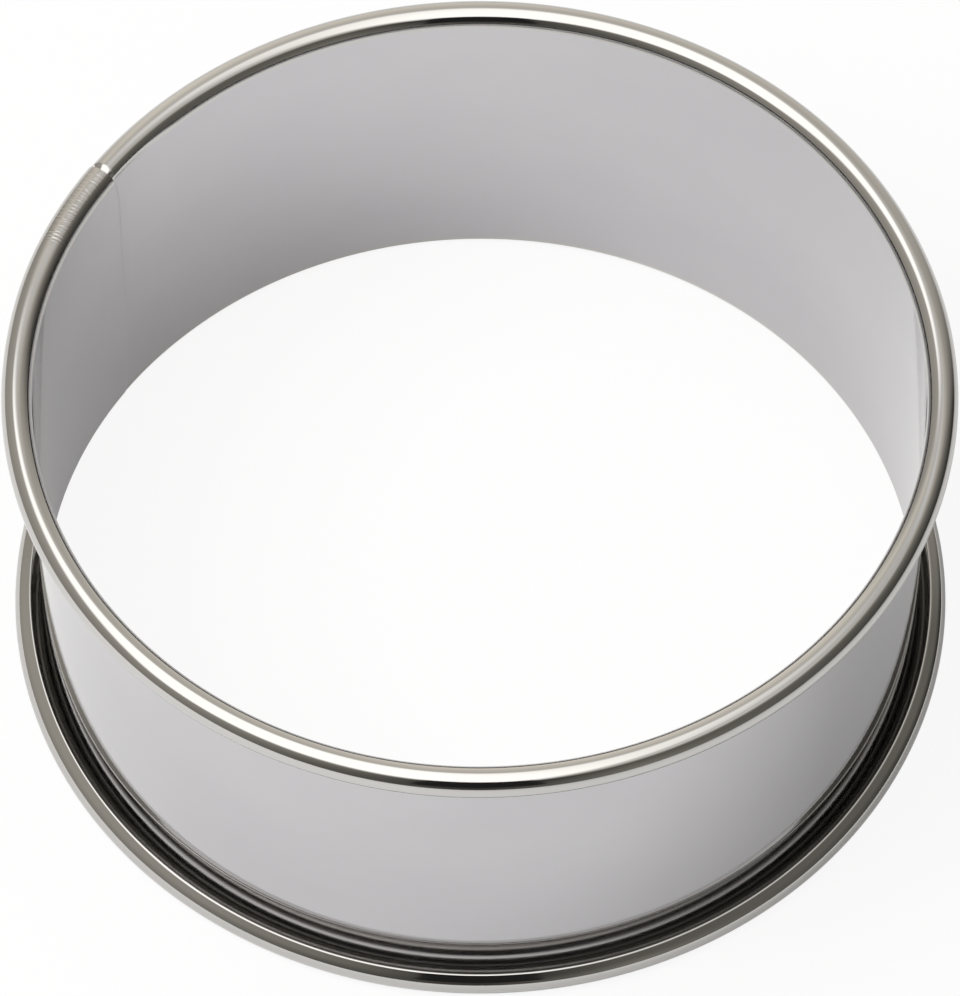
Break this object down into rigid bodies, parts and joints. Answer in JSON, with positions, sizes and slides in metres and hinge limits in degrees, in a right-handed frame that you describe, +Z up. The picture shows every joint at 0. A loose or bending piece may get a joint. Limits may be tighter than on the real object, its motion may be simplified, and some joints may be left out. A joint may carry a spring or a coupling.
{
  "type": "cake ring",
  "caption": "Bottomless round hoop of thin bright sheet with outward rolled rims and a lapped seam, for shaping, cutting or baking cakes and desserts.",
  "frame": {"origin": "on the hoop's axis, in the plane that the lower rim stands on", "axes": "+Z up along the hoop's axis, +Y away from the viewer of the picture, +X to the right; the seam is at the back left, at 145 degrees from +X towards +Y"},
  "size_m": [0.0962, 0.0962, 0.0403],
  "materials": {
    "bright_sheet": "bright rolled sheet with a soft mirror shine",
    "rolled_rim": "bright rolled sheet, polished by the curling",
    "crimped_sleeve": "bright sheet with fine cross ripples from the crimping"
  },
  "bodies": {
    "root": {"wall_band": "bright_sheet", "lap_tab": "bright_sheet", "lap_tongue": "bright_sheet", "top_rolled_rim": "rolled_rim", "top_rim_sleeve": "crimped_sleeve", "top_rim_tongue": "rolled_rim", "bottom_rolled_rim": "rolled_rim", "bottom_rim_sleeve": "crimped_sleeve", "bottom_rim_tongue": "rolled_rim"}
  },
  "joints": []
}
